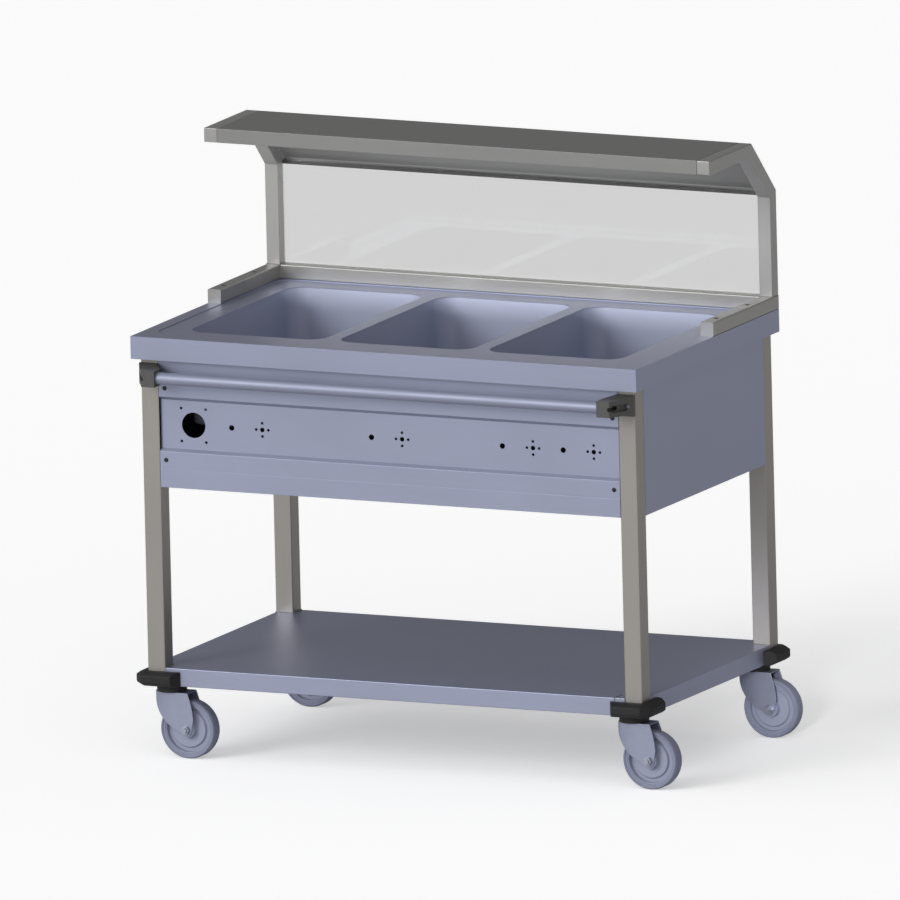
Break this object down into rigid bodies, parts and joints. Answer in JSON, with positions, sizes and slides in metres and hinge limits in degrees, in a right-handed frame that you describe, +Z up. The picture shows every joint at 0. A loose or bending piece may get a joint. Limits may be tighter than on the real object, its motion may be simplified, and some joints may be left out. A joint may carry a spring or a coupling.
{
  "type": "bain marie trolley",
  "caption": "Hot food serving trolley with heated wells for food pans, a drilled control panel, an open lower shelf, a glass-backed serving hood, a push handle, bumpers and swivel castors.",
  "frame": {"origin": "middle of the trolley's outline, on the floor, with its castors trailing to the right", "axes": "+X to the right along the trolley as seen from the control panel's side, +Y from that side to the glass, +Z up"},
  "size_m": [1.2296, 0.754, 1.272],
  "materials": {
    "stainless_sheet": "satin",
    "leg_steel": "satin",
    "hood_steel": "satin",
    "handle_steel": "satin",
    "fastener_steel": "satin",
    "castor_zinc": "satin",
    "wheel_plastic": "matte",
    "tyre_rubber": "matte",
    "castor_plastic": "matte",
    "bracket_plastic": "matte",
    "bumper_rubber": "matte",
    "pane_glass": "clear",
    "heater_sheath": "satin",
    "drain_pipe": "satin",
    "valve_brass": "satin",
    "lever_paint": "gloss"
  },
  "bodies": {
    "chassis": {"worktop": "stainless_sheet", "well_left": "stainless_sheet", "well_centre": "stainless_sheet", "well_right": "stainless_sheet", "heater_left": "heater_sheath", "heater_centre": "heater_sheath", "heater_right": "heater_sheath", "drain_manifold": "drain_pipe", "drain_valve": "valve_brass", "front_panel": "stainless_sheet", "panel_screws": "fastener_steel", "side_panel_left": "stainless_sheet", "side_panel_right": "stainless_sheet", "back_panel": "stainless_sheet", "body_floor": "stainless_sheet", "leg_front_left": "leg_steel", "leg_front_right": "leg_steel", "leg_rear_left": "leg_steel", "leg_rear_right": "leg_steel", "top_frame": "leg_steel", "shelf": "stainless_sheet", "shelf_stiffener": "stainless_sheet", "bumper_front_left": "bumper_rubber", "bumper_front_right": "bumper_rubber", "bumper_rear_left": "bumper_rubber", "bumper_rear_right": "bumper_rubber", "handle_tube": "handle_steel", "handle_bracket_left": "bracket_plastic", "handle_bracket_right": "bracket_plastic", "handle_screws": "fastener_steel", "base_rail_left": "hood_steel", "base_rail_right": "hood_steel", "cross_rail": "hood_steel", "hood_post_left": "hood_steel", "hood_post_right": "hood_steel", "hood": "hood_steel", "glass_pane": "pane_glass", "rail_bolts": "fastener_steel", "castor_head_front_left": "castor_plastic", "castor_head_front_right": "castor_plastic", "castor_head_rear_left": "castor_plastic", "castor_head_rear_right": "castor_plastic"},
    "drain_lever": {"drain_lever": "lever_paint"},
    "castor_front_left": {"castor_fork_front_left": "castor_zinc", "castor_axle_front_left": "fastener_steel"},
    "wheelset_front_left": {"wheel_front_left": "wheel_plastic", "tyre_front_left": "tyre_rubber"},
    "castor_front_right": {"castor_fork_front_right": "castor_zinc", "castor_axle_front_right": "fastener_steel"},
    "wheelset_front_right": {"wheel_front_right": "wheel_plastic", "tyre_front_right": "tyre_rubber"},
    "castor_rear_left": {"castor_fork_rear_left": "castor_zinc", "castor_axle_rear_left": "fastener_steel"},
    "wheelset_rear_left": {"wheel_rear_left": "wheel_plastic", "tyre_rear_left": "tyre_rubber"},
    "castor_rear_right": {"castor_fork_rear_right": "castor_zinc", "castor_axle_rear_right": "fastener_steel"},
    "wheelset_rear_right": {"wheel_rear_right": "wheel_plastic", "tyre_rear_right": "tyre_rubber"}
  },
  "joints": [
    {"name": "drain_lever_turn", "type": "hinge", "parent": "chassis", "child": "drain_lever", "pos_m": [-0.02025, 0.186, 0.551], "axis": [0, 1, 0], "range_deg": [0, 90]},
    {"name": "swivel_front_left", "type": "hinge", "parent": "chassis", "child": "castor_front_left", "pos_m": [-0.55275, -0.276, 0.1407], "axis": [0, 0, 1], "continuous": true},
    {"name": "roll_front_left", "type": "hinge", "parent": "castor_front_left", "child": "wheelset_front_left", "pos_m": [-0.51275, -0.276, 0.0625], "axis": [0, 1, 0], "continuous": true},
    {"name": "swivel_front_right", "type": "hinge", "parent": "chassis", "child": "castor_front_right", "pos_m": [0.51225, -0.276, 0.1407], "axis": [0, 0, 1], "continuous": true},
    {"name": "roll_front_right", "type": "hinge", "parent": "castor_front_right", "child": "wheelset_front_right", "pos_m": [0.55225, -0.276, 0.0625], "axis": [0, 1, 0], "continuous": true},
    {"name": "swivel_rear_left", "type": "hinge", "parent": "chassis", "child": "castor_rear_left", "pos_m": [-0.55275, 0.315, 0.1407], "axis": [0, 0, 1], "continuous": true},
    {"name": "roll_rear_left", "type": "hinge", "parent": "castor_rear_left", "child": "wheelset_rear_left", "pos_m": [-0.51275, 0.315, 0.0625], "axis": [0, 1, 0], "continuous": true},
    {"name": "swivel_rear_right", "type": "hinge", "parent": "chassis", "child": "castor_rear_right", "pos_m": [0.51225, 0.315, 0.1407], "axis": [0, 0, 1], "continuous": true},
    {"name": "roll_rear_right", "type": "hinge", "parent": "castor_rear_right", "child": "wheelset_rear_right", "pos_m": [0.55225, 0.315, 0.0625], "axis": [0, 1, 0], "continuous": true}
  ]
}
